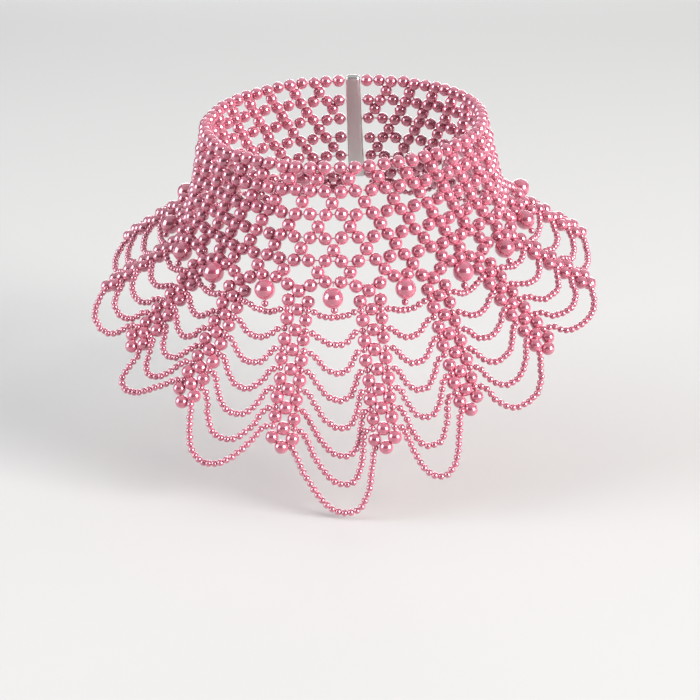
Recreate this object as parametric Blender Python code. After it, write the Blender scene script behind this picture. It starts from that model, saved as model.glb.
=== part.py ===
"""Pearl net collar with beaded swags, in metres, +Z up.

The origin is the centre of the top row of the collar, where the neck passes through. The front of the
collar faces -Y. A place on the collar is given by two numbers: its place along the net in beads, counted
from the front centre towards +X, and its depth, the length measured down the surface from the top row.
"""

import math

import bmesh
import bpy
from mathutils import Matrix, Vector

# Beads, by diameter
MID_BEAD = 0.0050        # net and ladders
SEED_STRING = 0.0022     # a string of seed beads, as one round cord
LARGE_PEARL = 0.0080

# Neck opening and net
NECK_HALF_WIDTH = 0.0575
NECK_HALF_DEPTH = 0.0570
NECK_TILT = math.radians(10.0)     # the front of the top row is lower than the back
CLASP_GAP = math.radians(7.0)      # left open at the back, for the clasp
NET_ROWS = 6
ROW_DROP = 0.0089
PEARLS_EACH_SIDE = 7
BEADS_PER_PEARL = 4
POST_SHARE = 0.42                  # half the width of a sparse bead, in beads
LAST_ROW_ARCH = 0.0013             # the last row rises over a pearl and dips at a ladder
CLASP_THICK = 0.0036

# Ladders and swags
FRONT_RUNGS = 8
RUNG_DROP = 0.0076
LADDER_SPREAD = 0.0076             # between the two side beads of a rung
LADDER_NOTCH = 0.0024              # half the width at the single beads
SWAG_POINT_STEP = 0.0080
SWAG_INSET = 0.0015                # from the ladder's centre to the fused end
SWAG_SHOULDER = 0.0078             # from the ladder's centre to where the string turns down
SWAG_FOOT_SHOULDER = 0.0052        # the same at a ladder's foot, where no bead is in the way
SWAG_REACH = 0.0047                # from the ladder's centre to the free end
FIRST_SWAG_DROP = 0.0022
SWAG_DROP_STEP = 0.0030            # from one swag to the next below, in the front gap
SWAG_DROP_LOSS = 0.000075          # what that step loses for each bead of distance from the front
SWAG_FULLNESS = 2.4                # 2 is a parabola, more is a fuller curve

# Space between two pieces that touch
CLEARANCE = 0.0003

# The surface that the collar lies on, by angle from the front: the angle, the slope of the neck part and
# the slope of the chest part below level, and the depth where the bend starts, as a share of the net's.
SECTIONS = (
    # angle, neck slope, chest slope, bend start
    (0.0, 77.5, 74.0, 0.63),
    (30.0, 85.0, 62.0, 0.63),
    (55.0, 88.0, 51.0, 0.66),
    (80.0, 77.5, 31.5, 0.82),
    (110.0, 76.5, 31.5, 0.55),
    (180.0, 80.0, 62.0, 0.76),
)
BEND_RADIUS = 0.0200

# Ladders from left to right: the place along the net, and how far the foot of a ladder of full length
# leans along the net, both in beads.
LADDERS = (
    # place, lean
    (-30, 0.0), (-26, 0.0), (-22, -0.4), (-18, -0.7), (-14, -0.75), (-10, -1.0), (-6, -1.1), (-2, -0.3),
    (2, 0.25), (6, 0.0), (10, 0.6), (14, 0.65), (18, 0.6), (22, 0.3), (26, 0.0), (30, 0.0),
)

# Gaps from left to right: the place of the pearl above, and how far the middle of the lowest swag hangs
# along the net, in beads.
SWAYS = (
    # place, sway, further sway and further drop of the lowest string
    (-28, 0.0, 0.0, 0.0), (-24, 0.1, 0.0, 0.0), (-20, 0.1, 0.0, 0.0), (-16, 0.2, 0.0, -0.0035),
    (-12, 0.25, 0.0, 0.0), (-8, 0.25, -1.1, 0.0012), (-4, 0.2, -0.65, 0.0010), (0, 0.6, -0.1, 0.0010),
    (4, 0.0, 0.0, 0.0035), (8, -0.25, 0.0, 0.0), (12, 0.1, -0.3, -0.0028), (16, 0.0, -0.5, -0.0035),
    (20, 0.0, 0.0, -0.0020), (24, 0.0, 0.0, 0.0), (28, 0.0, 0.0, 0.0),
)

# Worked out from the sizes above
NET_END = PEARLS_EACH_SIDE * BEADS_PER_PEARL + BEADS_PER_PEARL // 2 + 1
BEAD_ANGLE = (2.0 * math.pi - CLASP_GAP) / (2 * NET_END)
NET_DEPTH = (NET_ROWS - 1) * ROW_DROP
LADDER_LENGTH = FRONT_RUNGS * RUNG_DROP


def section(angle):
    """Return the neck slope, chest slope and bend depth of the surface at an angle from the front."""
    turn = abs(math.degrees(angle))
    for low, high in zip(SECTIONS, SECTIONS[1:]):
        if turn <= high[0]:
            break
    share = min(max((turn - low[0]) / (high[0] - low[0]), 0.0), 1.0)
    share = share * share * (3.0 - 2.0 * share)
    neck, chest, bend = (a + (b - a) * share for a, b in zip(low[1:], high[1:]))
    return math.radians(neck), math.radians(chest), bend * NET_DEPTH


def surface(place, depth):
    """Return the point of the surface at a place along the net and a depth: straight, round, straight."""
    angle = place * BEAD_ANGLE
    neck, chest, bend = section(angle)
    turned = min(max((depth - bend) / BEND_RADIUS, 0.0), neck - chest)
    straight = min(depth, bend)
    rest = max(depth - bend - BEND_RADIUS * (neck - chest), 0.0)
    out = straight * math.cos(neck) + rest * math.cos(chest)
    out += BEND_RADIUS * (math.sin(neck) - math.sin(neck - turned))
    down = straight * math.sin(neck) + rest * math.sin(chest)
    down += BEND_RADIUS * (math.cos(neck - turned) - math.cos(neck))
    front = -NECK_HALF_DEPTH * math.cos(angle)
    top = Vector((NECK_HALF_WIDTH * math.sin(angle), front * math.cos(NECK_TILT), front * math.sin(NECK_TILT)))
    return top + Vector((out * math.sin(angle), -out * math.cos(angle), -down))


def axes(place, depth):
    """Return the unit vectors along the row, down the surface and out of it."""
    along = (surface(place + 0.1, depth) - surface(place - 0.1, depth)).normalized()
    down = (surface(place, depth + 0.0005) - surface(place, depth - 0.0005)).normalized()
    out = down.cross(along).normalized()
    return along, along.cross(out), out


def bead_width(place, depth):
    """Return the length that one bead's place takes along the row."""
    return (surface(place + 0.5, depth) - surface(place - 0.5, depth)).length


def last_row_depth(place):
    """Return the depth of the last row, which arches over each pearl."""
    return NET_DEPTH - LAST_ROW_ARCH * math.cos(2.0 * math.pi * place / BEADS_PER_PEARL)


LADDER_TOP = last_row_depth(BEADS_PER_PEARL / 2) + MID_BEAD / 2 + CLEARANCE
PEARL_DEPTH = last_row_depth(0.0) + MID_BEAD / 2 + CLEARANCE + LARGE_PEARL / 2


def material(name, colour, roughness, metallic=0.0):
    """Return a plain surface of one colour."""
    made = bpy.data.materials.new(name)
    made.use_nodes = True
    shader = made.node_tree.nodes["Principled BSDF"]
    shader.inputs["Base Color"].default_value = (*colour, 1.0)
    shader.inputs["Roughness"].default_value = roughness
    shader.inputs["Metallic"].default_value = metallic
    return made


def closed_mesh(name, points, faces):
    """Return a mesh with its faces turned outwards."""
    mesh = bpy.data.meshes.new(name)
    mesh.from_pydata(points, [], faces)
    shape = bmesh.new()
    shape.from_mesh(mesh)
    bmesh.ops.recalc_face_normals(shape, faces=shape.faces)
    shape.to_mesh(mesh)
    shape.free()
    return mesh


def add_object(name, mesh, surface_material, smooth=True):
    """Place a mesh in the scene as one named piece."""
    mesh.materials.clear()
    mesh.materials.append(surface_material)
    if smooth:
        mesh.shade_smooth()
        mesh.set_sharp_from_angle(angle=math.radians(35.0))
    piece = bpy.data.objects.new(name, mesh)
    bpy.context.scene.collection.objects.link(piece)
    return piece


def sparse_places(row):
    """Return the places of the beads between two full rows: odd and even places take turns."""
    first = -NET_END + 2 - row % 2
    return list(range(first, NET_END, 2))


def line_places(row):
    """Return the places along a strip's edge where the posts between two rows start and end."""
    posts = sparse_places(row)
    spans = [(post - POST_SHARE, post + POST_SHARE) for post in posts]
    ends = [(-NET_END, -NET_END + POST_SHARE), (NET_END - POST_SHARE, NET_END)]
    if posts[0] == -NET_END + 1:
        spans[0], spans[-1] = (-NET_END, spans[0][1]), (spans[-1][0], NET_END)
        ends = []
    return sorted(spans + ends)


def collar_net():
    """Make the net as one pierced band: a strip for each full row, joined by posts."""
    points, faces = [], []

    def add_line(places, depth_of):
        """Add one edge line on the outer and the inner side, and return its numbers in pairs."""
        line = []
        for place in places:
            depth = depth_of(place)
            out = axes(place, depth)[2]
            line.append((place, len(points), len(points) + 1))
            points.append(surface(place, depth) + out * MID_BEAD / 2)
            points.append(surface(place, depth) - out * MID_BEAD / 2)
        return line

    def fill(upper, lower):
        """Fill the surface between two lines on both sides, one triangle at a time."""
        i = j = 0
        while i < len(upper) - 1 or j < len(lower) - 1:
            go_up = j == len(lower) - 1 or (i < len(upper) - 1 and upper[i + 1][0] <= lower[j + 1][0])
            for side in (1, 2):
                third = upper[i + 1][side] if go_up else lower[j + 1][side]
                faces.append((upper[i][side], lower[j][side], third))
            i, j = (i + 1, j) if go_up else (i, j + 1)

    def wall(one, two):
        """Close the edge between the outer and the inner side."""
        faces.append((one[1], one[2], two[2], two[1]))

    edges = []
    for row in range(NET_ROWS):
        middle = last_row_depth if row == NET_ROWS - 1 else (lambda place, row=row: row * ROW_DROP)
        above = [end for span in line_places(row - 1) for end in span]
        below = [end for span in line_places(row) for end in span]
        if row == NET_ROWS - 1:
            below = [-NET_END + step * 0.5 for step in range(4 * NET_END + 1)][::2]
        upper = add_line(above, lambda place: middle(place) - MID_BEAD / 2)
        lower = add_line(below, lambda place: middle(place) + MID_BEAD / 2)
        fill(upper, lower)
        wall(upper[0], lower[0])
        wall(lower[-1], upper[-1])
        edges.append((upper, lower))
    for one, two in zip(edges[0][0], edges[0][0][1:]):
        wall(one, two)
    for one, two in zip(edges[-1][1], edges[-1][1][1:]):
        wall(two, one)
    for row in range(NET_ROWS - 1):
        upper, lower = edges[row][1], edges[row + 1][0]
        wall(upper[0], lower[0])
        wall(lower[-1], upper[-1])
        if row == NET_ROWS - 2:
            fill(upper, lower)
            continue
        for start in range(0, len(upper), 2):
            fill(upper[start:start + 2], lower[start:start + 2])
            if start + 2 < len(upper):
                wall(upper[start + 1], upper[start + 2])
                wall(lower[start + 2], lower[start + 1])
                wall(lower[start + 1], upper[start + 1])
                wall(upper[start + 2], lower[start + 2])
    return closed_mesh("collar_net", points, faces)


def clasp_bar():
    """Make the plain bar that joins the two ends of the net at the back."""
    points, faces = [], []
    depths = [-MID_BEAD / 2]
    bend, bottom = section(math.pi)[2], last_row_depth(NET_END) + MID_BEAD / 2
    depths += [bend + (bottom - bend) * step / 3.0 for step in range(4)]
    back = math.pi / BEAD_ANGLE
    for depth in depths:
        end = surface(NET_END, depth)
        half = abs(end.x) - CLEARANCE
        centre = Vector((0.0, surface(back, depth).y, surface(back, depth).z))
        out = axes(back, depth)[2]
        for side, lift in ((-1, 1), (1, 1), (1, -1), (-1, -1)):
            points.append(centre + Vector((side * half, 0.0, 0.0)) + out * lift * CLASP_THICK / 2)
    for row in range(len(depths) - 1):
        for corner in range(4):
            a, b = 4 * row + corner, 4 * row + (corner + 1) % 4
            faces.append((a, b, b + 4, a + 4))
    faces += [(3, 2, 1, 0), tuple(4 * (len(depths) - 1) + corner for corner in range(4))]
    return closed_mesh("clasp_bar", points, faces)


def rungs_of(place):
    """Return how many rungs a ladder has: one less for each ladder away from the front."""
    return FRONT_RUNGS - (abs(place) - BEADS_PER_PEARL // 2) // BEADS_PER_PEARL


def ladder_place(ladder, depth):
    """Return the place of a ladder's centre at a depth, with its lean."""
    place, lean = ladder
    return place + lean * max(depth - LADDER_TOP, 0.0) / LADDER_LENGTH


def single_bead_depth(rung):
    """Return the depth of the single bead under a rung; 0 is the bead that hangs on the net."""
    return LADDER_TOP - MID_BEAD / 4 + rung * RUNG_DROP


def ladder_mesh(ladder):
    """Make a ladder as one strip: narrow at the single beads, wide at the pairs."""
    wide = LADDER_SPREAD / 2 + MID_BEAD * 0.44
    levels = [(LADDER_TOP, LADDER_NOTCH)]
    for rung in range(rungs_of(ladder[0])):
        top = single_bead_depth(rung)
        levels += [(max(top + RUNG_DROP * 0.34, LADDER_TOP + 0.001), wide), (top + RUNG_DROP * 0.66, wide),
                   (top + RUNG_DROP, LADDER_NOTCH)]
    levels.append((levels[-1][0] + MID_BEAD / 2, LADDER_NOTCH * 0.6))
    points, faces = [], []
    half = MID_BEAD * 0.45
    for depth, width in levels:
        centre = surface(ladder_place(ladder, depth), depth)
        along, _, out = axes(ladder_place(ladder, depth), depth)
        face = width - MID_BEAD * 0.22
        for across, lift in ((-face, half), (face, half), (width, 0), (face, -half), (-face, -half), (-width, 0)):
            points.append(centre + along * across + out * lift)
    for row in range(len(levels) - 1):
        for corner in range(6):
            a, b = 6 * row + corner, 6 * row + (corner + 1) % 6
            faces.append((a, b, b + 6, a + 6))
    faces += [tuple(range(5, -1, -1)), tuple(6 * (len(levels) - 1) + corner for corner in range(6))]
    return closed_mesh("ladder", points, faces)


def swag_points(left, right, tier, fused_left):
    """Return the route of one swag: out of the notch under a rung, down in a curve and up again."""
    depth = single_bead_depth(tier)
    ends = []
    for ladder, side, fused in ((left, 1, fused_left), (right, -1, not fused_left)):
        place = ladder_place(ladder, depth)
        width = bead_width(place, depth)
        start = SWAG_INSET if fused else SWAG_REACH
        shoulder = SWAG_FOOT_SHOULDER if tier == rungs_of(ladder[0]) else SWAG_SHOULDER
        ends.append((place + side * start / width, place + side * shoulder / width))
    (first, turn_down), (last, turn_up) = ends
    gap = (left[0] + right[0]) // 2
    drop = FIRST_SWAG_DROP + (tier - 1) * (SWAG_DROP_STEP - SWAG_DROP_LOSS * abs(gap))
    dip = min(drop / 3.0, RUNG_DROP / 8.0)
    fall = tier / min(rungs_of(left[0]), rungs_of(right[0]))
    even, lowest, deeper = next(row[1:] for row in SWAYS if row[0] == gap)
    sway = even * fall + lowest * fall ** 4
    drop += deeper * fall ** 4
    span = (turn_up - turn_down) * bead_width((turn_up + turn_down) / 2, depth)
    length = math.hypot(span, 2.0 * drop)
    steps = 2 * max(2, round(length / SWAG_POINT_STEP / 2))
    route = [surface(first, depth)]
    for step in range(steps + 1):
        share = step / steps
        hang = 1.0 - abs(2.0 * share - 1.0) ** SWAG_FULLNESS
        place = turn_down + (turn_up - turn_down) * share + sway * hang
        route.append(surface(place, depth + dip + (drop - dip) * hang))
    return route + [surface(last, depth)]


def string_mesh(routes):
    """Make round strings along routes, as one mesh of separate tubes."""
    curve = bpy.data.curves.new("string", "CURVE")
    curve.dimensions = "3D"
    curve.bevel_depth = SEED_STRING / 2
    curve.bevel_resolution = 1
    curve.use_fill_caps = True
    for route in routes:
        spline = curve.splines.new("POLY")
        spline.points.add(len(route) - 1)
        for point, place in zip(spline.points, route):
            point.co = (*place, 1.0)
    holder = bpy.data.objects.new("string", curve)
    bpy.context.scene.collection.objects.link(holder)
    mesh = bpy.data.meshes.new_from_object(holder.evaluated_get(bpy.context.evaluated_depsgraph_get()))
    bpy.data.objects.remove(holder)
    return mesh


def bib_piece(name, index, pearl_material):
    """Make a ladder fused with the swags of the gap on its front side."""
    ladder = LADDERS[index]
    piece = add_object(name, ladder_mesh(ladder), pearl_material)
    on_left = ladder[0] < 0
    neighbour = index + 1 if on_left else index - 1
    if ladder[0] == BEADS_PER_PEARL // 2:
        return piece
    other = LADDERS[neighbour]
    left, right = (ladder, other) if on_left else (other, ladder)
    tiers = min(rungs_of(left[0]), rungs_of(right[0]))
    routes = [swag_points(left, right, tier, on_left) for tier in range(1, tiers + 1)]
    strings = add_object(name + "_strings", string_mesh(routes), pearl_material)
    strings.hide_render = True
    strings.display_type = "WIRE"
    union = piece.modifiers.new("strings", "BOOLEAN")
    union.operation = "UNION"
    union.solver = "EXACT"
    union.object = strings
    return piece


def large_pearl(place):
    """Make a round pearl under the last row."""
    shape = bmesh.new()
    along, down, out = axes(place, PEARL_DEPTH)
    turn = Matrix((along, -out, -down)).transposed().to_4x4()
    bmesh.ops.create_uvsphere(shape, u_segments=12, v_segments=6, radius=LARGE_PEARL / 2,
                              matrix=Matrix.Translation(surface(place, PEARL_DEPTH)) @ turn)
    mesh = bpy.data.meshes.new("large_pearl")
    shape.to_mesh(mesh)
    shape.free()
    return mesh


def side_name(stem, place, number):
    """Return a name that says which side of the front a piece is on."""
    if place == 0:
        return stem + "_front"
    return "{}_{}_{}".format(stem, "left" if place < 0 else "right", number)


def main():
    for old in list(bpy.data.objects):
        bpy.data.objects.remove(old)
    pearl_pink = material("pearl_pink", (0.80, 0.36, 0.45), 0.25)
    clasp_metal = material("clasp_metal", (0.75, 0.72, 0.70), 0.30, 1.0)
    add_object("collar_net", collar_net(), pearl_pink)
    add_object("clasp_bar", clasp_bar(), clasp_metal)
    for number in range(-PEARLS_EACH_SIDE, PEARLS_EACH_SIDE + 1):
        place = number * BEADS_PER_PEARL
        add_object(side_name("pearl", place, abs(number)), large_pearl(place), pearl_pink)
    half = len(LADDERS) // 2
    for index, ladder in enumerate(LADDERS):
        number = half - index if index < half else index - half + 1
        bib_piece(side_name("bib", ladder[0], number), index, pearl_pink)


main()
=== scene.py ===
"""Pearl net collar with beaded swags: every bead, pearl, thread and the clasp, with a small studio.

A place on the collar is given by two numbers, as in its solids: its place along the net in beads, counted
from the front centre towards +X, and its depth, the length down the surface from the top row of beads.
"""

import math

import bmesh
import bpy
from bpy.props import FloatProperty, FloatVectorProperty, IntProperty, PointerProperty
from mathutils import Matrix, Vector


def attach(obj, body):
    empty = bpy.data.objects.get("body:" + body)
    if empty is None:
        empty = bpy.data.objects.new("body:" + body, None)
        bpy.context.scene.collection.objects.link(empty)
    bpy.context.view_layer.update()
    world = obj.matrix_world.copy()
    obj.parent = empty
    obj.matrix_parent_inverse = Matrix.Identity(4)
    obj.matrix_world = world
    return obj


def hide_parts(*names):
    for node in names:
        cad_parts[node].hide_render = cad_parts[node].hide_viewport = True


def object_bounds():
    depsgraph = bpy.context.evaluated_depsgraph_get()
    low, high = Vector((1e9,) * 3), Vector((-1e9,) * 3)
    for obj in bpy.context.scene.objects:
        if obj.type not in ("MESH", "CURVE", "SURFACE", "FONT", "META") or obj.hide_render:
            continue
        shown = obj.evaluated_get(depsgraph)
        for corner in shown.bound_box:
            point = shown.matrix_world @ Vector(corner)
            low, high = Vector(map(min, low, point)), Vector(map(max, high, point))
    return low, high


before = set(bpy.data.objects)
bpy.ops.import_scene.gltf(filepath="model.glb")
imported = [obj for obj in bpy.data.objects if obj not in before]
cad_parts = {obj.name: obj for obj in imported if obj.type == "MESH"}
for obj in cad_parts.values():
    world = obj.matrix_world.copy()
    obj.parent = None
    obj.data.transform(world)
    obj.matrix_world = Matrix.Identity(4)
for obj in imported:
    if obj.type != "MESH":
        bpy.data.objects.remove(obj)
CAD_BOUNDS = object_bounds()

bl_info = {
    "name": "Pearl net collar",
    "version": (1, 0, 0),
    "blender": (4, 5, 0),
    "location": "3D View > Sidebar > Collar",
    "description": "Beads, pearls, swags and clasp of a worn pearl net collar, with a studio",
    "category": "Object",
}

# The net and what hangs from it
NECK_HALF_WIDTH = 0.0575
NECK_HALF_DEPTH = 0.0570
NECK_TILT = math.radians(10.0)
CLASP_GAP = math.radians(7.0)
NET_ROWS = 6
ROW_DROP = 0.0089
PEARLS_EACH_SIDE = 7
BEADS_PER_PEARL = 4
LAST_ROW_ARCH = 0.0013
FRONT_RUNGS = 8
RUNG_DROP = 0.0076
LADDER_SPREAD = 0.0076
FIRST_SWAG_DROP = 0.0022
SWAG_DROP_STEP = 0.0030            # from one swag to the next below, in the front gap
SWAG_DROP_LOSS = 0.000075          # what that step loses for each bead of distance from the front
SWAG_FULLNESS = 2.4                # 2 is a parabola, more is a fuller curve
SWAG_SHOULDER = 0.0078             # from a ladder's centre to where its swag turns down
SWAG_FOOT_SHOULDER = 0.0052        # the same at the last rung of the ladder
LOWEST_SWAG_POWER = 4              # more keeps a gap's further sway and drop nearer to its lowest string
SOLID_BEAD = 0.0050                # the bead size that the solids are worked out from
CLASP_THICK = 0.0036
CLASP_STEPS = 30                   # rings of points along the bar
CLASP_CORNERS = 24                 # points in each ring
CLASP_SOFTNESS = 0.45              # reach of the bar's rounded ends, as a share of its thickness
CLASP_ROUNDNESS = 0.5              # of the bar's section: 1 is an oval, less is squarer
CLASP_SHRINK = 0.98                # how far an end ring shrinks, as a share of the whole rounding
CLEARANCE = 0.0003
PLACE_NUDGE = 0.1                  # steps that the surface's directions are measured over
DEPTH_NUDGE = 0.0005

# What the beads add to the solids
SEED_LENGTH = 0.96                 # of a seed bead along its string, as a share of its diameter
PEARL_LIFT = 0.0019                # a large pearl stands proud of the row
PEARL_NESTLE = 0.0008              # and sits between two of its beads
PEARL_HANG = 0.52                  # from the row to a large pearl, as a share of the two diameters
TIE_HANG = 0.43                    # from a large pearl to the seed bead below it, in the same way
INNER_CROWDING = 0.92              # of the distance from a pearl to each of the two beads over it
OUTER_CROWDING = 0.87              # the same to the two beads beside them
SPARSE_EVENNESS = 0.7              # how far a bead between two rows moves to the middle of its neighbours
SWAG_TUCK = 0.18                   # of a swag's ends over or under the ladder, in seed beads
SWAG_REST = 0.35                   # how far a swag sinks to the level of the larger beads' backs
SWAG_STEPS = 28                    # straight pieces in the route of a swag
FULL_TURN = 6.283                  # the most that a bead is turned about each axis
NO_BEAD = 0.001                    # a point with a smaller share than this carries no bead
MID_VERTICES = 5                   # along an edge of the cube that a bead is rounded from
SEED_VERTICES = 4
LARGE_VERTICES = 11

# How deep a bead's pink is, the painted sheen at its edges, and the clear lacquer over it
OWN_TINT = 0.55                    # share that is the bead's own
CLOUD_TINT = 0.45                  # share that differs from patch to patch
SHEEN_EDGE_POWER = 1.4                   # more keeps the painted edge sheen nearer to the edge
LACQUER_IOR = 2.1

# The surface that the collar lies on, by angle from the front in degrees
SECTIONS = (
    # angle, neck slope, chest slope, bend start as a share of the net's depth
    (0.0, 77.5, 74.0, 0.63),
    (30.0, 85.0, 62.0, 0.63),
    (55.0, 88.0, 51.0, 0.66),
    (80.0, 77.5, 31.5, 0.82),
    (110.0, 76.5, 31.5, 0.55),
    (180.0, 80.0, 62.0, 0.76),
)
BEND_RADIUS = 0.0200

# Area lights round the collar
LIGHTS = (
    # name, turn from the camera and height in degrees, distance, width, height, colour
    ("window", 52.0, 12.0, 3.6, 1.9, 2.6, (1.0, 0.98, 0.95)),
    ("fill", -80.0, 16.0, 3.6, 2.6, 3.2, (0.93, 0.96, 1.0)),
    ("back", 175.0, 9.0, 6.0, 4.5, 1.8, (1.0, 1.0, 1.0)),
)
ROOM_COLOUR = (0.95, 0.96, 1.0)
FLOOR_HALF_SIZE = 60.0
FLOOR_GAP = 0.002                  # from the lowest bead to the floor
SENSOR_WIDTH = 36.0                # in mm

# Ladders from left to right, in beads along the net
LADDERS = (
    # place, lean of the foot of a ladder of full length
    (-30, 0.0), (-26, 0.0), (-22, -0.4), (-18, -0.7), (-14, -0.75), (-10, -1.0), (-6, -1.1), (-2, -0.3),
    (2, 0.25), (6, 0.0), (10, 0.6), (14, 0.65), (18, 0.6), (22, 0.3), (26, 0.0), (30, 0.0),
)

# Gaps between ladders from left to right, in beads along the net
SWAYS = (
    # place, sway, further sway and further drop of the lowest string
    (-28, 0.0, 0.0, 0.0), (-24, 0.1, 0.0, 0.0), (-20, 0.1, 0.0, 0.0), (-16, 0.2, 0.0, -0.0035),
    (-12, 0.25, 0.0, 0.0), (-8, 0.25, -1.1, 0.0012), (-4, 0.2, -0.65, 0.0010), (0, 0.6, -0.1, 0.0010),
    (4, 0.0, 0.0, 0.0035), (8, -0.25, 0.0, 0.0), (12, 0.1, -0.3, -0.0028), (16, 0.0, -0.5, -0.0035),
    (20, 0.0, 0.0, -0.0020), (24, 0.0, 0.0, 0.0), (28, 0.0, 0.0, 0.0),
)

NET_END = PEARLS_EACH_SIDE * BEADS_PER_PEARL + BEADS_PER_PEARL // 2 + 1
BEAD_ANGLE = (2.0 * math.pi - CLASP_GAP) / (2 * NET_END)
NET_DEPTH = (NET_ROWS - 1) * ROW_DROP
LADDER_LENGTH = FRONT_RUNGS * RUNG_DROP


# Sizes, colours and light that can be changed

class CollarBeads(bpy.types.PropertyGroup):
    """Sizes of the beads and how evenly they are strung."""

    mid_bead: FloatProperty(name="Net bead", description="Diameter of a net or ladder bead",
                            default=0.0054, min=0.003, max=0.006, unit="LENGTH", precision=4)
    seed_bead: FloatProperty(name="Seed bead", description="Diameter of a seed bead",
                             default=0.0028, min=0.001, max=0.004, unit="LENGTH", precision=4)
    seed_pitch: FloatProperty(name="Seed pitch", description="Length of string that one seed bead takes",
                              default=0.00260, min=0.001, max=0.005, unit="LENGTH", precision=5)
    large_pearl: FloatProperty(name="Large pearl", description="Diameter of a large pearl",
                               default=0.0083, min=0.005, max=0.010, unit="LENGTH", precision=4)
    thread: FloatProperty(name="Thread", description="Diameter of the thread between beads",
                          default=0.0005, min=0.0001, max=0.001, unit="LENGTH", precision=4)
    size_spread: FloatProperty(name="Size spread", description="How much bead sizes differ",
                               default=0.035, min=0.0, max=0.2, subtype="FACTOR")
    looseness: FloatProperty(name="Looseness", description="How far a bead may sit from its even place",
                             default=0.00030, min=0.0, max=0.001, unit="LENGTH", precision=5)
    seed: IntProperty(name="Seed", description="Which of the uneven arrangements is made",
                      default=7, min=0)


class CollarFinish(bpy.types.PropertyGroup):
    """Colours and gloss of the pearls, the thread and the clasp."""

    pearl: FloatVectorProperty(name="Pearl", description="Main pink of the pearl coating",
                               default=(0.42, 0.087, 0.142), size=3, min=0.0, max=1.0, subtype="COLOR")
    pearl_deep: FloatVectorProperty(name="Deep pearl", description="Darker pink of some beads and patches",
                                    default=(0.28, 0.043, 0.080), size=3, min=0.0, max=1.0, subtype="COLOR")
    # painted sheen: the base colour turns this brighter pink towards the edges as the camera sees them; it
    # also tints the real reflections there
    edge_tint_and_painted_sheen: FloatVectorProperty(name="Pearl edge", description="Pink that the coating turns at edges",
                                    default=(0.98, 0.36, 0.50), size=3, min=0.0, max=1.0, subtype="COLOR")
    lustre: FloatProperty(name="Lustre", description="How metallic the pearl coating looks",
                          default=0.55, min=0.0, max=1.0, subtype="FACTOR")
    pearl_roughness: FloatProperty(name="Pearl roughness", description="Softness of its reflections",
                                   default=0.25, min=0.0, max=1.0, subtype="FACTOR")
    lacquer_roughness: FloatProperty(name="Lacquer roughness", description="Softness of the lacquer",
                                     default=0.11, min=0.0, max=1.0, subtype="FACTOR")
    thread_colour: FloatVectorProperty(name="Thread", description="Colour of the thread",
                                       default=(0.78, 0.36, 0.45), size=3, min=0.0, max=1.0,
                                       subtype="COLOR")
    clasp: FloatVectorProperty(name="Clasp", description="Colour of the clasp's metal",
                               default=(0.62, 0.605, 0.59), size=3, min=0.0, max=1.0, subtype="COLOR")


class CollarStudio(bpy.types.PropertyGroup):
    """Camera, floor and lights."""

    distance: FloatProperty(name="Distance", description="Camera to the point that it looks at",
                            default=0.650, min=0.1, unit="LENGTH")
    azimuth: FloatProperty(name="Azimuth", description="Camera's turn round the collar towards +X",
                           default=math.radians(4.8), subtype="ANGLE")
    elevation: FloatProperty(name="Elevation", description="Camera's angle above level",
                             default=math.radians(17.0), subtype="ANGLE")
    roll: FloatProperty(name="Roll", description="How far the picture is turned anticlockwise",
                        default=math.radians(1.6), subtype="ANGLE")
    aim_depth: FloatProperty(name="Aim", description="How far below the top row the camera looks",
                             default=0.0998, unit="LENGTH", precision=4)
    focal_length: FloatProperty(name="Focal length", description="Lens length on a 36 mm sensor, in mm",
                                default=76.8, min=10.0)
    window_power: FloatProperty(name="Window", description="Power of the tall window light", default=410.0,
                                min=0.0, subtype="POWER")
    fill_power: FloatProperty(name="Fill", description="Power of the broad light opposite", default=165.0,
                              min=0.0, subtype="POWER")
    back_power: FloatProperty(name="Back", description="Power of the broad light behind", default=140.0,
                              min=0.0, subtype="POWER")
    sky_strength: FloatProperty(name="Sky", description="Strength of the soft light overhead", default=1.15,
                                min=0.0)
    sky_angle: FloatProperty(name="Sky angle", description="How wide the soft light overhead is",
                             default=math.radians(100.0), subtype="ANGLE")
    room: FloatProperty(name="Room light", description="Strength of the even light all round", default=0.18,
                        min=0.0)
    floor: FloatVectorProperty(name="Floor", description="Colour of the floor", default=(0.56, 0.556, 0.55),
                               size=3, min=0.0, max=1.0, subtype="COLOR")


# The surface, as in the solids

def section(angle):
    """Return the neck slope, chest slope and bend depth of the surface at an angle from the front."""
    turn = abs(math.degrees(angle))
    for low, high in zip(SECTIONS, SECTIONS[1:]):
        if turn <= high[0]:
            break
    share = min(max((turn - low[0]) / (high[0] - low[0]), 0.0), 1.0)
    share = share * share * (3.0 - 2.0 * share)
    neck, chest, bend = (a + (b - a) * share for a, b in zip(low[1:], high[1:]))
    return math.radians(neck), math.radians(chest), bend * NET_DEPTH


def surface(place, depth):
    """Return the point of the surface at a place along the net and a depth: straight, round, straight."""
    angle = place * BEAD_ANGLE
    neck, chest, bend = section(angle)
    turned = min(max((depth - bend) / BEND_RADIUS, 0.0), neck - chest)
    straight = min(depth, bend)
    rest = max(depth - bend - BEND_RADIUS * (neck - chest), 0.0)
    out = straight * math.cos(neck) + rest * math.cos(chest)
    out += BEND_RADIUS * (math.sin(neck) - math.sin(neck - turned))
    down = straight * math.sin(neck) + rest * math.sin(chest)
    down += BEND_RADIUS * (math.cos(neck - turned) - math.cos(neck))
    front = -NECK_HALF_DEPTH * math.cos(angle)
    side = NECK_HALF_WIDTH * math.sin(angle)
    top = Vector((side, front * math.cos(NECK_TILT), front * math.sin(NECK_TILT)))
    return top + Vector((out * math.sin(angle), -out * math.cos(angle), -down))


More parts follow.
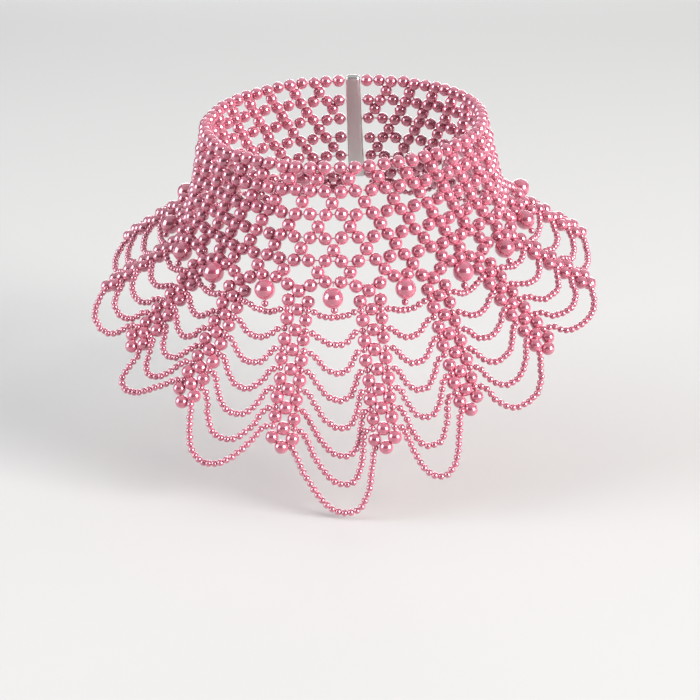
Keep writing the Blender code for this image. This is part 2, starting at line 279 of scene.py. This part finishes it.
def axes(place, depth):
    """Return the unit vectors along the row, down the surface and out of it."""
    along = (surface(place + PLACE_NUDGE, depth) - surface(place - PLACE_NUDGE, depth)).normalized()
    down = (surface(place, depth + DEPTH_NUDGE) - surface(place, depth - DEPTH_NUDGE)).normalized()
    out = down.cross(along).normalized()
    return along, along.cross(out), out


def raised(place, depth, lift):
    """Return a point at a height above the surface."""
    return surface(place, depth) + axes(place, depth)[2] * lift


def bead_width(place, depth):
    """Return the length that one bead's place takes along the row."""
    return (surface(place + 0.5, depth) - surface(place - 0.5, depth)).length


def last_row_depth(place):
    """Return the depth of the last row, which arches over each pearl."""
    return NET_DEPTH - LAST_ROW_ARCH * math.cos(2.0 * math.pi * place / BEADS_PER_PEARL)


LADDER_TOP = last_row_depth(BEADS_PER_PEARL / 2) + SOLID_BEAD / 2 + CLEARANCE


def rungs_of(place):
    """Return how many rungs a ladder has: one less for each ladder away from the front."""
    return FRONT_RUNGS - (abs(place) - BEADS_PER_PEARL // 2) // BEADS_PER_PEARL


def ladder_place(ladder, depth):
    """Return the place of a ladder's centre at a depth, with its lean."""
    place, lean = ladder
    return place + lean * max(depth - LADDER_TOP, 0.0) / LADDER_LENGTH


def single_bead_depth(rung):
    """Return the depth of the single bead under a rung; 0 is the bead that hangs on the net."""
    return LADDER_TOP - SOLID_BEAD / 4 + rung * RUNG_DROP


# Where the beads sit

class Stringing:
    """Places for beads, threads between them, and routes for seed beads, kept until they become a mesh."""

    def __init__(self):
        self.points, self.shares, self.edges, self.strings = [], [], [], []

    def bead(self, point, share=1.0):
        """Add a bead's centre, with its size as a share of the piece's bead, and return its number."""
        self.points.append(point)
        self.shares.append(share)
        return len(self.points) - 1

    def thread(self, numbers, is_string=False):
        """Join points one after the other."""
        for one, two in zip(numbers, numbers[1:]):
            self.edges.append((one, two))
            self.strings.append(is_string)

    def string(self, route):
        """Add a route that seed beads are strung along."""
        self.thread([self.bead(point, 0.0) for point in route], is_string=True)

    def plan(self, name):
        """Return an object whose points and edges carry this stringing."""
        mesh = bpy.data.meshes.new(name)
        mesh.from_pydata(self.points, self.edges, [])
        mesh.attributes.new("bead_share", "FLOAT", "POINT").data.foreach_set("value", self.shares)
        mesh.attributes.new("is_string", "BOOLEAN", "EDGE").data.foreach_set("value", self.strings)
        piece = bpy.data.objects.new(name, mesh)
        bpy.context.scene.collection.objects.link(piece)
        return piece


def full_row(row):
    """Return the places and depths of a full row's beads; the last row opens round each ladder."""
    spots = []
    for step in range(-NET_END, NET_END):
        place = step + 0.5
        if row < NET_ROWS - 1:
            spots.append((place, row * ROW_DROP))
            continue
        pearl = BEADS_PER_PEARL * round(place / BEADS_PER_PEARL)
        near = place - pearl
        place = pearl + near * (INNER_CROWDING if abs(near) < 1.0 else OUTER_CROWDING)
        spots.append((place, last_row_depth(place)))
    return spots


def sparse_places(row):
    """Return the places of the beads between two full rows: odd and even places take turns."""
    return list(range(-NET_END + 2 - row % 2, NET_END, 2))


def net_stringing():
    """Lay out the net: full rows with a sparse row between each two."""
    net = Stringing()
    rows = []
    for row in range(NET_ROWS):
        beads = [net.bead(surface(place, depth)) for place, depth in full_row(row)]
        left, right = (net.bead(surface(side * NET_END, row * ROW_DROP), 0.0) for side in (-1, 1))
        net.thread([left] + beads + [right])
        rows.append(beads)
    for row in range(NET_ROWS - 1):
        for place in sparse_places(row):
            upper = [rows[row][place + NET_END - 1 + side] for side in (0, 1)]
            lower = [rows[row + 1][place + NET_END - 1 + side] for side in (0, 1)]
            middle = sum((net.points[number] for number in upper + lower), Vector()) / 4
            centre = net.bead(surface(place, (row + 0.5) * ROW_DROP).lerp(middle, SPARSE_EVENNESS))
            for number in upper + lower:
                net.thread([number, centre])
    return net


def add_ladder(stringing, ladder):
    """Lay out a ladder: a single bead, then a pair and a single bead for each rung."""
    top = single_bead_depth(0)
    last = stringing.bead(surface(ladder_place(ladder, top), top))
    for rung in range(rungs_of(ladder[0])):
        depth = single_bead_depth(rung + 0.5)
        place = ladder_place(ladder, depth)
        along = axes(place, depth)[0]
        middle = surface(place, depth)
        pair = [stringing.bead(middle + along * side * LADDER_SPREAD / 2) for side in (-1, 1)]
        below = single_bead_depth(rung + 1)
        single = stringing.bead(surface(ladder_place(ladder, below), below))
        for number in pair:
            stringing.thread([last, number, single])
        last = single


def swag_route(left, right, tier, beads):
    """Return the route of a swag from beside one ladder, round its next bead, down and up again."""
    depth = single_bead_depth(tier)
    start = (beads.mid_bead + beads.seed_bead) / 2
    ends = []
    for ladder, side in ((left, 1), (right, -1)):
        place = ladder_place(ladder, depth)
        width = bead_width(place, depth)
        shoulder = SWAG_FOOT_SHOULDER if tier == rungs_of(ladder[0]) else SWAG_SHOULDER
        ends.append((place + side * start / width, place + side * shoulder / width))
    (first, turn_down), (last, turn_up) = ends
    gap = (left[0] + right[0]) // 2
    drop = FIRST_SWAG_DROP + (tier - 1) * (SWAG_DROP_STEP - SWAG_DROP_LOSS * abs(gap))
    dip = min(drop / 3.0, RUNG_DROP / 8.0)  # how far it has come down where it leaves the ladder
    fall = tier / min(rungs_of(left[0]), rungs_of(right[0]))
    even, lowest, deeper = next(row[1:] for row in SWAYS if row[0] == gap)
    sway = even * fall + lowest * fall ** LOWEST_SWAG_POWER
    drop += deeper * fall ** LOWEST_SWAG_POWER
    rest = -(beads.mid_bead - beads.seed_bead) * SWAG_REST
    over = beads.seed_bead * (SWAG_TUCK if tier % 2 else -SWAG_TUCK)
    route = [raised(first, depth, over)]
    for step in range(SWAG_STEPS + 1):
        share = step / SWAG_STEPS
        hang = 1.0 - abs(2.0 * share - 1.0) ** SWAG_FULLNESS
        place = turn_down + (turn_up - turn_down) * share + sway * hang
        route.append(raised(place, depth + dip + (drop - dip) * hang, over + (rest - over) * hang))
    return route + [raised(last, depth, over)]


def add_swags(stringing, left, right, beads):
    """Lay out the swags of the gap between two ladders."""
    for tier in range(1, min(rungs_of(left[0]), rungs_of(right[0])) + 1):
        stringing.string(swag_route(left, right, tier, beads))


def pearl_stringing(beads):
    """Lay out the large pearls, each with the seed bead that ties it to the swag below."""
    pearls = Stringing()
    row = last_row_depth(0.0)
    depth = row + PEARL_HANG * (beads.mid_bead + beads.large_pearl) - PEARL_NESTLE
    low = depth + TIE_HANG * (beads.large_pearl + beads.seed_bead)
    tie_share = beads.seed_bead / beads.large_pearl
    for number in range(-PEARLS_EACH_SIDE, PEARLS_EACH_SIDE + 1):
        place = number * BEADS_PER_PEARL
        ends = [pearls.bead(surface(place, row), 0.0),
                pearls.bead(raised(place, depth, PEARL_LIFT)),
                pearls.bead(raised(place, low, -beads.seed_bead / 3), tie_share)]
        pearls.thread(ends)
    return pearls


# The node tree that turns a stringing into beads

def feed(tree, socket, source):
    """Link a socket to another one, or set its value."""
    if isinstance(source, bpy.types.NodeSocket):
        tree.links.new(source, socket)
    else:
        socket.default_value = source


def in_use(sockets):
    """Return the sockets that a node has in use with its present settings."""
    return [socket for socket in sockets if socket.enabled]


def add_node(tree, kind, links=None, **settings):
    """Add a node, set its properties, and feed its sockets from values or other sockets."""
    node = tree.nodes.new(kind)
    for key, value in settings.items():
        setattr(node, key, value)
    for key, source in (links or {}).items():
        feed(tree, node.inputs[key], source)
    return node


def random_value(tree, kind, low, high, seed):
    """Add a random value node of one data type and return its output."""
    node = add_node(tree, "FunctionNodeRandomValue", data_type=kind)
    for socket, source in zip(in_use(node.inputs), (low, high)):
        feed(tree, socket, source)
    tree.links.new(seed, node.inputs["Seed"])
    return in_use(node.outputs)[0]


def calculate(tree, operation, *values, kind="ShaderNodeMath"):
    """Add a sum of values or vectors and return its result."""
    node = add_node(tree, kind, operation=operation)
    for socket, source in zip(in_use(node.inputs), values):
        feed(tree, socket, source)
    return in_use(node.outputs)[0]


def calculate_vector(tree, operation, *values):
    """Add a sum of vectors and return its result."""
    return calculate(tree, operation, *values, kind="ShaderNodeVectorMath")


def named_value(tree, name, kind):
    """Add a node that reads a named attribute and return its output."""
    node = add_node(tree, "GeometryNodeInputNamedAttribute", {"Name": name}, data_type=kind)
    return in_use(node.outputs)[0]


def store_value(tree, geometry, name, kind, domain, value):
    """Add a node that stores a named attribute and return its geometry."""
    node = add_node(tree, "GeometryNodeStoreNamedAttribute", {"Geometry": geometry, "Name": name},
                    data_type=kind, domain=domain)
    feed(tree, next(socket for socket in in_use(node.inputs) if socket.name == "Value"), value)
    return node.outputs[0]


def round_bead(tree, vertices, radius):
    """Add a ball made from a cube with even faces all round, and return its mesh."""
    cube = add_node(tree, "GeometryNodeMeshCube", {
        "Size": (2.0, 2.0, 2.0), "Vertices X": vertices, "Vertices Y": vertices, "Vertices Z": vertices})
    position = add_node(tree, "GeometryNodeInputPosition").outputs[0]
    angle = calculate_vector(tree, "SCALE", position, math.pi / 4.0)
    even = calculate_vector(tree, "TANGENT", angle)
    direction = calculate_vector(tree, "NORMALIZE", even)
    rounded = calculate_vector(tree, "SCALE", direction, radius)
    moved = add_node(tree, "GeometryNodeSetPosition", {
        "Geometry": cube.outputs["Mesh"], "Position": rounded})
    smooth = add_node(tree, "GeometryNodeSetShadeSmooth", {
        "Geometry": moved.outputs[0], "Shade Smooth": True})
    return smooth.outputs[0]


def placed_beads(tree, points, bead, spread, seed, share=None, turn=None, length=1.0):
    """Put a bead on each point, each with its own size and tint, and return them."""
    low, high = calculate(tree, "SUBTRACT", 1.0, spread), calculate(tree, "ADD", 1.0, spread)
    scale = random_value(tree, "FLOAT", low, high, seed)
    links = {"Points": points, "Instance": bead}
    if share is not None:
        scale = calculate(tree, "MULTIPLY", scale, share)
        links["Selection"] = calculate(tree, "GREATER_THAN", share, NO_BEAD)
    if turn is None:
        angle = add_node(tree, "FunctionNodeEulerToRotation")
        any_way = random_value(tree, "FLOAT_VECTOR", (0.0,) * 3, (FULL_TURN,) * 3, seed)
        tree.links.new(any_way, angle.inputs[0])
        turn = angle.outputs[0]
    links["Rotation"] = turn
    placed = add_node(tree, "GeometryNodeInstanceOnPoints", links)
    sizes = add_node(tree, "ShaderNodeCombineXYZ", {
        "X": scale, "Y": scale, "Z": calculate(tree, "MULTIPLY", scale, length)})
    tree.links.new(sizes.outputs[0], placed.inputs["Scale"])
    tint = random_value(tree, "FLOAT", 0.0, 1.0, seed)
    return store_value(tree, placed.outputs[0], "tint", "FLOAT", "INSTANCE", tint)


def beadwork_tree():
    """Build the tree: beads on points, seed beads along strings, and thread through all of them."""
    tree = bpy.data.node_groups.new("beadwork", "GeometryNodeTree")
    tree.interface.new_socket("Geometry", in_out="OUTPUT", socket_type="NodeSocketGeometry")
    for name, kind in (("Geometry", "Geometry"), ("Bead", "Float"), ("Bead Vertices", "Int"),
                       ("Seed Bead", "Float"), ("Seed Pitch", "Float"), ("Thread", "Float"),
                       ("Size Spread", "Float"), ("Looseness", "Float"), ("Seed", "Int"),
                       ("Pearl Finish", "Material"), ("Thread Finish", "Material")):
        tree.interface.new_socket(name, in_out="INPUT", socket_type="NodeSocket" + kind)
    given = add_node(tree, "NodeGroupInput").outputs
    seed, spread = given["Seed"], given["Size Spread"]

    any_way = random_value(tree, "FLOAT_VECTOR", (-1.0,) * 3, (1.0,) * 3, seed)
    loose = calculate_vector(tree, "SCALE", any_way, given["Looseness"])
    shifted = add_node(tree, "GeometryNodeSetPosition", {"Geometry": given["Geometry"], "Offset": loose})
    is_string = named_value(tree, "is_string", "BOOLEAN")
    parts = add_node(tree, "GeometryNodeSeparateGeometry", {
        "Geometry": shifted.outputs[0], "Selection": is_string}, domain="EDGE")
    strings, points = parts.outputs["Selection"], parts.outputs["Inverted"]

    share = named_value(tree, "bead_share", "FLOAT")
    radius = calculate(tree, "MULTIPLY", given["Bead"], 0.5)
    bead = round_bead(tree, given["Bead Vertices"], radius)
    beads = placed_beads(tree, points, bead, spread, seed, share=share)

    string_curve = add_node(tree, "GeometryNodeMeshToCurve", {"Mesh": strings}).outputs[0]
    spaced = add_node(tree, "GeometryNodeResampleCurve", {
        "Curve": string_curve, "Length": given["Seed Pitch"]}, mode="LENGTH").outputs[0]
    tangent = add_node(tree, "GeometryNodeInputTangent").outputs[0]
    along = add_node(tree, "FunctionNodeAlignRotationToVector", {"Vector": tangent}, axis="Z")
    small = calculate(tree, "MULTIPLY", given["Seed Bead"], 0.5)
    seed_bead = round_bead(tree, SEED_VERTICES, small)
    seeds = placed_beads(tree, spaced, seed_bead, spread, seed, turn=along.outputs[0], length=SEED_LENGTH)

    thread_curve = add_node(tree, "GeometryNodeMeshToCurve", {"Mesh": points}).outputs[0]
    both = add_node(tree, "GeometryNodeJoinGeometry")
    tree.links.new(string_curve, both.inputs[0])
    tree.links.new(thread_curve, both.inputs[0])
    half_thread = calculate(tree, "MULTIPLY", given["Thread"], 0.5)
    ring = add_node(tree, "GeometryNodeCurvePrimitiveCircle", {"Resolution": 4, "Radius": half_thread})
    tube = add_node(tree, "GeometryNodeCurveToMesh", {
        "Curve": both.outputs[0], "Profile Curve": ring.outputs[0], "Fill Caps": True})
    thread = store_value(tree, tube.outputs[0], "is_thread", "BOOLEAN", "FACE", True)
    joined = add_node(tree, "GeometryNodeJoinGeometry")
    for source in (thread, seeds, beads):
        tree.links.new(source, joined.inputs[0])

    real = add_node(tree, "GeometryNodeRealizeInstances", {"Geometry": joined.outputs[0]})
    pearled = add_node(tree, "GeometryNodeSetMaterial", {
        "Geometry": real.outputs[0], "Material": given["Pearl Finish"]})
    finished = add_node(tree, "GeometryNodeSetMaterial", {
        "Geometry": pearled.outputs[0], "Material": given["Thread Finish"],
        "Selection": named_value(tree, "is_thread", "BOOLEAN")})
    add_node(tree, "NodeGroupOutput", {"Geometry": finished.outputs[0]})
    return tree


def beaded(name, stringing, bead, vertices):
    """Turn a stringing into a finished mesh object."""
    beads = bpy.context.scene.collar_beads
    tree = bpy.data.node_groups.get("beadwork") or beadwork_tree()
    plan = stringing.plan(name + "_plan")
    modifier = plan.modifiers.new("beadwork", "NODES")
    modifier.node_group = tree
    values = {
        "Bead": bead,
        "Bead Vertices": vertices,
        "Seed Bead": beads.seed_bead,
        "Seed Pitch": beads.seed_pitch,
        "Thread": beads.thread,
        "Size Spread": beads.size_spread,
        "Looseness": beads.looseness,
        "Seed": beads.seed,
        "Pearl Finish": pearl_finish(),
        "Thread Finish": thread_finish(),
    }
    for item in tree.interface.items_tree:
        if item.in_out == "INPUT" and item.name in values:
            modifier[item.identifier] = values[item.name]
    evaluated = plan.evaluated_get(bpy.context.evaluated_depsgraph_get())
    mesh = bpy.data.meshes.new_from_object(evaluated)
    bpy.data.objects.remove(plan)
    if not mesh.polygons:
        raise RuntimeError("no beads were made for " + name)
    mesh.name = name
    piece = bpy.data.objects.new(name, mesh)
    bpy.context.scene.collection.objects.link(piece)
    return piece


# Finishes

def shader_material(name, roughness, metallic):
    """Return a new material with its tree and its shader."""
    made = bpy.data.materials.new(name)
    made.use_nodes = True
    shader = made.node_tree.nodes["Principled BSDF"]
    shader.inputs["Roughness"].default_value = roughness
    shader.inputs["Metallic"].default_value = metallic
    return made, made.node_tree, shader


def mix_colours(tree, share, one, two):
    """Add a colour mix and return its result."""
    mix = add_node(tree, "ShaderNodeMix", data_type="RGBA")
    sockets = in_use(mix.inputs)
    tree.links.new(share, sockets[0])
    colours = [socket for socket in sockets if socket.name in ("A", "B")]
    for socket, source in zip(colours, (one, two)):
        feed(tree, socket, source if isinstance(source, bpy.types.NodeSocket) else (*source, 1.0))
    return in_use(mix.outputs)[0]


def darker(colour, share):
    """Return a colour with each part multiplied by a share."""
    return [part * share for part in colour]


def add_grain(tree, shader, height, strength, distance):
    """Let a value stand up from the surface as a slight bump."""
    bump = add_node(tree, "ShaderNodeBump", {"Height": height, "Strength": strength, "Distance": distance})
    tree.links.new(bump.outputs[0], shader.inputs["Normal"])


def pearl_finish():
    """Make the pearl coating: a lustrous pink with uneven depth and a painted sheen towards its edges,
    under a clear lacquer.
    """
    if "pearl_coating" in bpy.data.materials:
        return bpy.data.materials["pearl_coating"]
    look = bpy.context.scene.collar_finish
    made, tree, shader = shader_material("pearl_coating", look.pearl_roughness, look.lustre)
    place = add_node(tree, "ShaderNodeTexCoord").outputs["Object"]
    cloud = add_node(tree, "ShaderNodeTexNoise", {"Vector": place, "Scale": 160.0, "Detail": 2.0})
    tint = add_node(tree, "ShaderNodeAttribute", attribute_name="tint").outputs["Fac"]
    own_share = calculate(tree, "MULTIPLY", tint, OWN_TINT)
    cloud_share = calculate(tree, "MULTIPLY", cloud.outputs["Fac"], CLOUD_TINT)
    both = calculate(tree, "ADD", own_share, cloud_share)
    # painted sheen: the base colour turns brighter pink towards the edges as the camera sees them
    facing = add_node(tree, "ShaderNodeLayerWeight", {"Blend": 0.5}).outputs["Facing"]
    edge = calculate(tree, "POWER", facing, SHEEN_EDGE_POWER)
    body = mix_colours(tree, both, look.pearl_deep, look.pearl)
    tree.links.new(mix_colours(tree, edge, body, look.edge_tint_and_painted_sheen), shader.inputs["Base Color"])
    grain = add_node(tree, "ShaderNodeTexNoise", {"Vector": place, "Scale": 900.0, "Detail": 3.0})
    add_grain(tree, shader, grain.outputs["Fac"], 0.08, 0.0002)
    # the same pink also tints the coating's real reflections at grazing angles
    shader.inputs["Specular Tint"].default_value = (*look.edge_tint_and_painted_sheen, 1.0)
    shader.inputs["Coat Weight"].default_value = 1.0
    shader.inputs["Coat Roughness"].default_value = look.lacquer_roughness
    shader.inputs["Coat IOR"].default_value = LACQUER_IOR
    return made


def thread_finish():
    """Make the thread: dull, with a fine twist."""
    if "twisted_thread" in bpy.data.materials:
        return bpy.data.materials["twisted_thread"]
    look = bpy.context.scene.collar_finish
    made, tree, shader = shader_material("twisted_thread", 0.7, 0.0)
    place = add_node(tree, "ShaderNodeTexCoord").outputs["Object"]
    twist = add_node(tree, "ShaderNodeTexNoise", {"Vector": place, "Scale": 2500.0})
    colour = mix_colours(tree, twist.outputs["Fac"], look.thread_colour, darker(look.thread_colour, 0.7))
    tree.links.new(colour, shader.inputs["Base Color"])
    return made


def clasp_finish():
    """Make the clasp's metal: satin, with fine lines along the bar."""
    look = bpy.context.scene.collar_finish
    made, tree, shader = shader_material("clasp_satin", 0.3, 1.0)
    place = add_node(tree, "ShaderNodeTexCoord").outputs["Object"]
    stretched = add_node(tree, "ShaderNodeMapping", {"Vector": place, "Scale": (1.0, 1.0, 0.05)})
    lines = add_node(tree, "ShaderNodeTexNoise", {
        "Vector": stretched.outputs[0], "Scale": 3000.0, "Detail": 4.0}).outputs["Fac"]
    colour = mix_colours(tree, lines, look.clasp, darker(look.clasp, 0.8))
    tree.links.new(colour, shader.inputs["Base Color"])
    rough = add_node(tree, "ShaderNodeMapRange", {"Value": lines, "To Min": 0.22, "To Max": 0.40})
    tree.links.new(rough.outputs[0], shader.inputs["Roughness"])
    add_grain(tree, shader, lines, 0.1, 0.0001)
    return made


def floor_finish():
    """Make the floor: pale and matt, with a trace of unevenness."""
    studio = bpy.context.scene.collar_studio
    made, tree, shader = shader_material("pale_floor", 0.9, 0.0)
    place = add_node(tree, "ShaderNodeTexCoord").outputs["Object"]
    cloud = add_node(tree, "ShaderNodeTexNoise", {"Vector": place, "Scale": 3.0})
    colour = mix_colours(tree, cloud.outputs["Fac"], studio.floor, darker(studio.floor, 0.985))
    tree.links.new(colour, shader.inputs["Base Color"])
    return made


def side_name(stem, place, number):
    """Return a name that says which side of the front a piece is on."""
    if place == 0:
        return stem + "_front"
    return "{}_{}_{}".format(stem, "left" if place < 0 else "right", number)


def finish_piece(piece, nodes):
    """Put a piece on the collar's one body in place of its solids."""
    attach(piece, "root")
    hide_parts(*nodes)


# One operator for each piece or group of like pieces

class COLLAR_OT_net(bpy.types.Operator):
    """Make the beads and threads of the collar's net."""

    bl_idname = "collar.net"
    bl_label = "Net"

    def execute(self, context):
        beads = context.scene.collar_beads
        piece = beaded("net_beads", net_stringing(), beads.mid_bead, MID_VERTICES)
        finish_piece(piece, ["collar_net"])
        return {"FINISHED"}


class COLLAR_OT_bib(bpy.types.Operator):
    """Make each ladder of beads with the seed bead swags of the gap beside it."""

    bl_idname = "collar.bib"
    bl_label = "Ladders and swags"

    def execute(self, context):
        beads = context.scene.collar_beads
        half = len(LADDERS) // 2
        for index, ladder in enumerate(LADDERS):
            number = half - index if index < half else index - half + 1
            node = side_name("bib", ladder[0], number)
            stringing = Stringing()
            add_ladder(stringing, ladder)
            if index < half:
                add_swags(stringing, ladder, LADDERS[index + 1], beads)
            elif index > half:
                add_swags(stringing, LADDERS[index - 1], ladder, beads)
            piece = beaded(node + "_beads", stringing, beads.mid_bead, MID_VERTICES)
            finish_piece(piece, [node])
        return {"FINISHED"}


class COLLAR_OT_pearls(bpy.types.Operator):
    """Make the large pearls under the net, with the seed bead below each."""

    bl_idname = "collar.pearls"
    bl_label = "Large pearls"

    def execute(self, context):
        beads = context.scene.collar_beads
        piece = beaded("large_pearls", pearl_stringing(beads), beads.large_pearl, LARGE_VERTICES)
        nodes = [side_name("pearl", number, abs(number))
                 for number in range(-PEARLS_EACH_SIDE, PEARLS_EACH_SIDE + 1)]
        finish_piece(piece, nodes)
        return {"FINISHED"}


def clasp_rings():
    """Return the rings of points round the clasp bar, which grow from and shrink to its rounded ends."""
    top, bottom = -SOLID_BEAD / 2, last_row_depth(NET_END) + SOLID_BEAD / 2
    back = math.pi / BEAD_ANGLE
    soft = CLASP_THICK * CLASP_SOFTNESS
    rings = []
    for step in range(CLASP_STEPS + 1):
        share = 0.5 - 0.5 * math.cos(math.pi * step / CLASP_STEPS)
        depth = top + (bottom - top) * share
        inset = max(soft - min(depth - top, bottom - depth), 0.0) / soft
        inset = soft * (1.0 - math.sqrt(1.0 - inset * inset)) * CLASP_SHRINK
        along, _, out = axes(back, depth)
        half = abs(surface(NET_END, depth).x) - CLEARANCE - inset
        thick = CLASP_THICK / 2 - inset
        ring = []
        for corner in range(CLASP_CORNERS):
            turn = 2.0 * math.pi * corner / CLASP_CORNERS
            parts = (math.cos(turn), math.sin(turn))
            across, lift = (math.copysign(abs(part) ** CLASP_ROUNDNESS, part) for part in parts)
            ring.append(surface(back, depth) + along * across * half + out * lift * thick)
        rings.append(ring)
    return rings


class COLLAR_OT_clasp(bpy.types.Operator):
    """Make the clasp bar with its rounded edges and satin metal."""

    bl_idname = "collar.clasp"
    bl_label = "Clasp"

    def execute(self, context):
        shape = bmesh.new()
        rings = [[shape.verts.new(point) for point in ring] for ring in clasp_rings()]
        for upper, lower in zip(rings, rings[1:]):
            for a, b, c, d in zip(upper, upper[1:] + upper[:1], lower[1:] + lower[:1], lower):
                shape.faces.new((a, b, c, d))
        shape.faces.new(rings[0])
        shape.faces.new(rings[-1][::-1])
        bmesh.ops.recalc_face_normals(shape, faces=shape.faces)
        mesh = bpy.data.meshes.new("clasp")
        shape.to_mesh(mesh)
        shape.free()
        mesh.shade_smooth()
        mesh.materials.append(clasp_finish())
        piece = bpy.data.objects.new("clasp", mesh)
        context.scene.collection.objects.link(piece)
        finish_piece(piece, ["clasp_bar"])
        return {"FINISHED"}


def area_light(light_row, turn, power, aim):
    """Add a soft light of the table, turned to the collar."""
    name, azimuth, elevation, distance, width, height, colour = light_row
    azimuth, elevation = turn + math.radians(azimuth), math.radians(elevation)
    data = bpy.data.lights.new(name + "_light", "AREA")
    data.shape = "RECTANGLE"
    data.size, data.size_y = width, height
    data.energy = power
    data.color = colour
    light = bpy.data.objects.new(name + "_light", data)
    bpy.context.scene.collection.objects.link(light)
    level = math.cos(elevation) * distance
    light.location = aim + Vector((math.sin(azimuth) * level, -math.cos(azimuth) * level,
                                   math.sin(elevation) * distance))
    light.rotation_euler = (light.location - aim).to_track_quat("Z", "Y").to_euler()
    light.visible_camera = False


class COLLAR_OT_studio(bpy.types.Operator):
    """Set up the floor, the lights and the camera."""

    bl_idname = "collar.studio"
    bl_label = "Studio"

    def execute(self, context):
        studio = context.scene.collar_studio
        aim = Vector((0.0, 0.0, -studio.aim_depth))
        size, low = FLOOR_HALF_SIZE, CAD_BOUNDS[0].z - FLOOR_GAP
        mesh = bpy.data.meshes.new("floor")
        corners = [(x * size, y * size, low) for x, y in ((-1, -1), (1, -1), (1, 1), (-1, 1))]
        mesh.from_pydata(corners, [], [(0, 1, 2, 3)])
        mesh.materials.append(floor_finish())
        floor = bpy.data.objects.new("floor", mesh)
        context.scene.collection.objects.link(floor)

        turn = studio.azimuth
        for light_row, power in zip(LIGHTS, (studio.window_power, studio.fill_power, studio.back_power)):
            area_light(light_row, turn, power, aim)
        sky = bpy.data.lights.new("sky_light", "SUN")
        sky.angle = studio.sky_angle
        sky.energy = studio.sky_strength
        overhead = bpy.data.objects.new("sky_light", sky)
        context.scene.collection.objects.link(overhead)

        world = bpy.data.worlds.new("room")
        world.use_nodes = True
        background = world.node_tree.nodes["Background"]
        background.inputs["Color"].default_value = (*ROOM_COLOUR, 1.0)
        background.inputs["Strength"].default_value = studio.room
        context.scene.world = world
        context.scene.view_settings.view_transform = "Standard"

        back = Vector((math.sin(turn) * math.cos(studio.elevation),
                       -math.cos(turn) * math.cos(studio.elevation), math.sin(studio.elevation)))
        right = Vector((math.cos(turn), math.sin(turn), 0.0))
        data = bpy.data.cameras.new("camera")
        data.lens = studio.focal_length
        data.sensor_width = SENSOR_WIDTH
        data.clip_start = 0.01
        camera = bpy.data.objects.new("camera", data)
        context.scene.collection.objects.link(camera)
        level = Matrix((right, back.cross(right), back)).transposed()
        look = level @ Matrix.Rotation(-studio.roll, 3, "Z")
        camera.matrix_world = Matrix.Translation(aim + back * studio.distance) @ look.to_4x4()
        context.scene.camera = camera
        return {"FINISHED"}


class COLLAR_PT_panel(bpy.types.Panel):
    """Everything that can be set or made."""

    bl_label = "Pearl net collar"
    bl_idname = "COLLAR_PT_panel"
    bl_space_type = "VIEW_3D"
    bl_region_type = "UI"
    bl_category = "Collar"

    def draw(self, context):
        layout = self.layout
        for group in (getattr(context.scene, name) for name in GROUPS):
            box = layout.box()
            box.label(text=group.bl_rna.description)
            for name in group.__annotations__:
                box.prop(group, name)
        for operator in OPERATORS:
            layout.operator(operator.bl_idname)


GROUPS = {"collar_beads": CollarBeads, "collar_finish": CollarFinish, "collar_studio": CollarStudio}
OPERATORS = (COLLAR_OT_net, COLLAR_OT_bib, COLLAR_OT_pearls, COLLAR_OT_clasp, COLLAR_OT_studio)


def register():
    """Register the settings, the operators and the panel."""
    for name, group in GROUPS.items():
        bpy.utils.register_class(group)
        setattr(bpy.types.Scene, name, PointerProperty(type=group))
    for made in OPERATORS + (COLLAR_PT_panel,):
        bpy.utils.register_class(made)


def unregister():
    """Take everything out again."""
    for made in (COLLAR_PT_panel,) + OPERATORS[::-1]:
        bpy.utils.unregister_class(made)
    for name, group in GROUPS.items():
        delattr(bpy.types.Scene, name)
        bpy.utils.unregister_class(group)


def main():
    """Make every piece."""
    register()
    bpy.ops.collar.net()
    bpy.ops.collar.bib()
    bpy.ops.collar.pearls()
    bpy.ops.collar.clasp()
    bpy.ops.collar.studio()


if __name__ == "__main__":
    main()
